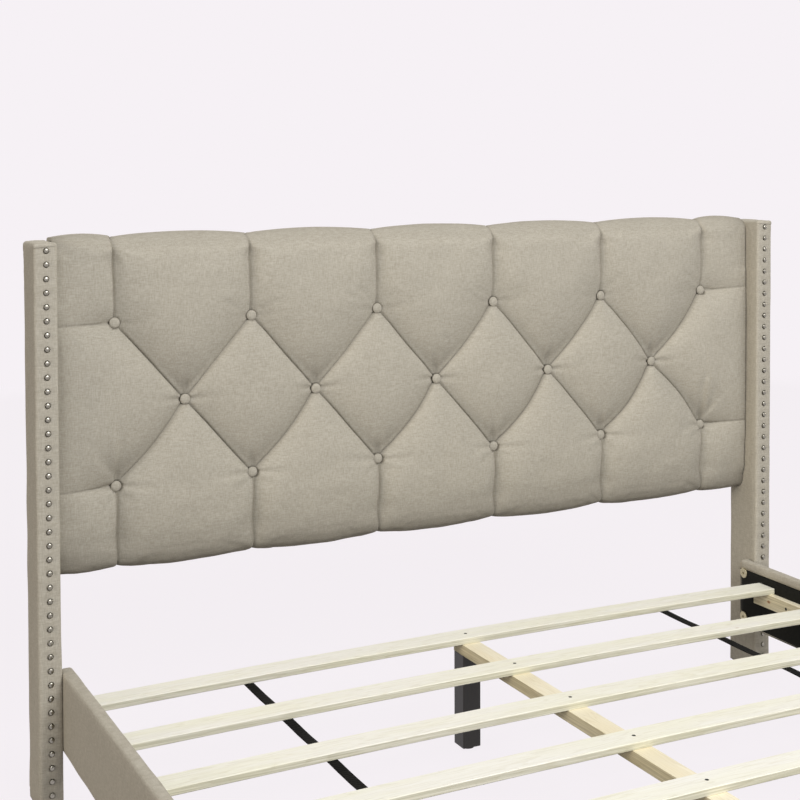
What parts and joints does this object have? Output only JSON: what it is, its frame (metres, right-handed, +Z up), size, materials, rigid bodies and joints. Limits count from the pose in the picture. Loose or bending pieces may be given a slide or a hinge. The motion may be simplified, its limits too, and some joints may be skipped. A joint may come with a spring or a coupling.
{
  "type": "wingback bed",
  "caption": "Upholstered wingback bed frame with a diamond-tufted headboard, nailhead-trimmed wings, padded side rails, low footboard and a pine slat base.",
  "frame": {"origin": "on the floor, under the centre of the bed's outline", "axes": "+Y from the footboard to the headboard, +X to the right for someone at the foot, +Z up"},
  "size_m": [2.12, 2.1704, 1.3248],
  "materials": {
    "linen_upholstery": "heathered linen weave",
    "black_lining": "non-woven lining cloth",
    "black_webbing": "woven tape",
    "pewter_nails": "pewter plated",
    "zinc_hardware": "yellow zinc plated",
    "steel_hardware": "zinc plated",
    "black_screws": "phosphated",
    "black_glides": "moulded",
    "black_legs": "black stained",
    "bare_pine": "planed, unfinished",
    "frame_timber": "sawn plywood and pine"
  },
  "bodies": {
    "root": {"button_washers": "steel_hardware", "centre_beam": "bare_pine", "centre_leg_foot": "black_legs", "centre_leg_head": "black_legs", "centre_leg_levellers": "black_glides", "centre_leg_middle": "black_legs", "centre_leg_studs": "steel_hardware", "foot_post_bolt_inserts": "steel_hardware", "foot_post_bolts": "steel_hardware", "foot_rail_bolts": "zinc_hardware", "footboard_board": "frame_timber", "footboard_cover": "linen_upholstery", "footboard_inner_cloth": "black_lining", "head_rail_bolts": "zinc_hardware", "headboard_back_cloth": "black_lining", "headboard_board": "frame_timber", "headboard_bolt_inserts": "steel_hardware", "headboard_bolts": "steel_hardware", "headboard_buttons": "linen_upholstery", "headboard_edge_wrap": "linen_upholstery", "headboard_frame_rails": "frame_timber", "headboard_frame_stiles": "frame_timber", "headboard_tufted_pad": "linen_upholstery", "left_cleat": "bare_pine", "left_cleat_screws": "black_screws", "left_foot_post_core": "frame_timber", "left_foot_post_cover": "linen_upholstery", "left_foot_post_glide": "black_glides", "left_rail_board": "frame_timber", "left_rail_cover": "linen_upholstery", "left_rail_inner_cloth": "black_lining", "left_slat_webbing": "black_webbing", "left_wing_core": "frame_timber", "left_wing_cover": "linen_upholstery", "left_wing_glide": "black_glides", "left_wing_nailheads": "pewter_nails", "rail_bolt_inserts": "steel_hardware", "right_cleat": "bare_pine", "right_cleat_screws": "black_screws", "right_foot_post_core": "frame_timber", "right_foot_post_cover": "linen_upholstery", "right_foot_post_glide": "black_glides", "right_rail_board": "frame_timber", "right_rail_cover": "linen_upholstery", "right_rail_inner_cloth": "black_lining", "right_slat_webbing": "black_webbing", "right_wing_core": "frame_timber", "right_wing_cover": "linen_upholstery", "right_wing_glide": "black_glides", "right_wing_nailheads": "pewter_nails", "slat_1": "bare_pine", "slat_2": "bare_pine", "slat_3": "bare_pine", "slat_4": "bare_pine", "slat_5": "bare_pine", "slat_6": "bare_pine", "slat_7": "bare_pine", "slat_8": "bare_pine", "slat_screws": "black_screws", "webbing_staples": "steel_hardware"}
  },
  "joints": []
}
